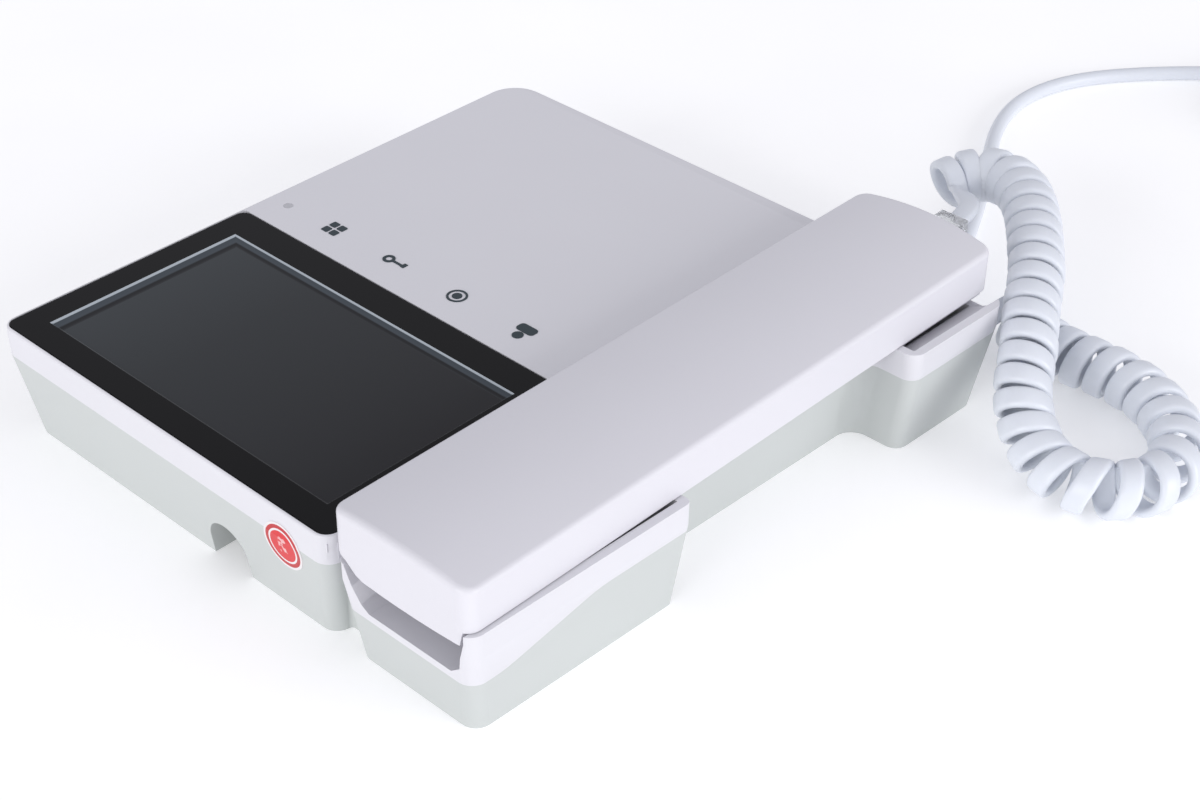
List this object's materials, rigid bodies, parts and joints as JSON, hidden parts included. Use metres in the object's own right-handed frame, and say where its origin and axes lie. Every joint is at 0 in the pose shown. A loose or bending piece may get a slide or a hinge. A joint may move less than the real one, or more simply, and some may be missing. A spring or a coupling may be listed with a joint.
{
  "type": "video intercom monitor",
  "caption": "Wall intercom monitor with a colour screen, printed touch keys and a corded handset that lifts off its cradle.",
  "frame": {"origin": "centre of the object's plan, without its free cords, on the back face that meets the wall", "axes": "+X to the right across the face, away from the handset; +Y up the face as mounted; +Z out of the wall"},
  "size_m": [0.2285, 0.4223, 0.0403],
  "materials": {
    "white_shell": "fine satin, injection moulded",
    "grey_shell": "fine matte, injection moulded",
    "handset_white": "fine satin, injection moulded",
    "black_glass": "polished, printed black behind",
    "lcd": "satin polariser",
    "steel_tray": "stamped",
    "print_ink": "printed",
    "board_green": "solder mask",
    "chip_black": "moulded epoxy",
    "connector_white": "moulded nylon",
    "transformer": "ferrite and tape",
    "capacitor": "sleeved can",
    "speaker": "pressed basket and magnet",
    "screw_steel": "zinc plated",
    "label_red": "printed label",
    "light_pipe": "frosted",
    "plunger_white": "moulded acetal",
    "switch_black": "moulded",
    "spring_steel": "drawn wire",
    "jack_black": "moulded",
    "weight_steel": "raw bar",
    "clear_plug": "clear moulded",
    "cord_white": "smooth soft vinyl",
    "pin_brass": "nickel plated",
    "tie_white": "smooth"
  },
  "bodies": {
    "root": {"front_cover": "white_shell", "rear_cover": "grey_shell", "screen_glass": "black_glass", "lcd_panel": "lcd", "lcd_frame": "steel_tray", "key_prints": "print_ink", "touch_key_board": "board_green", "indicator_light": "light_pipe", "main_board": "board_green", "board_chips": "chip_black", "door_connectors": "connector_white", "power_board": "board_green", "power_transformer": "transformer", "power_capacitors": "capacitor", "chime_speaker": "speaker", "case_screws": "screw_steel", "board_screws": "screw_steel", "seal_sticker": "label_red", "hook_spring": "spring_steel", "hook_switch": "switch_black", "base_jack": "jack_black", "base_plug": "clear_plug", "curly_cord": "cord_white", "handset_cord_lead": "cord_white", "base_cord_lead": "cord_white", "strain_relief": "cord_white", "power_cord": "cord_white", "power_cord_coil": "cord_white", "power_cord_tail": "cord_white", "cord_tie": "tie_white", "power_plug": "cord_white", "power_plug_pins": "pin_brass"},
    "handset": {"handset_upper_shell": "handset_white", "handset_lower_shell": "handset_white", "earpiece_cap": "handset_white", "earpiece_speaker": "speaker", "mouthpiece_cap": "handset_white", "mouthpiece_microphone": "speaker", "handset_jack": "jack_black", "handset_weight": "weight_steel", "handset_screws": "screw_steel", "handset_plug": "clear_plug"},
    "hook": {"hook_plunger": "plunger_white"}
  },
  "joints": [
    {"name": "handset_lift", "type": "slide", "parent": "root", "child": "handset", "axis": [0, 0, 1], "range_m": [0, 0.05]},
    {"name": "hook_plunger_slide", "type": "slide", "parent": "root", "child": "hook", "axis": [0, 0, 1], "range_m": [0, 0.003], "deforming": ["hook_spring"]}
  ],
  "couplings": [
    {"joint": "hook_plunger_slide", "follows": "handset_lift", "ratio": 0.06}
  ]
}
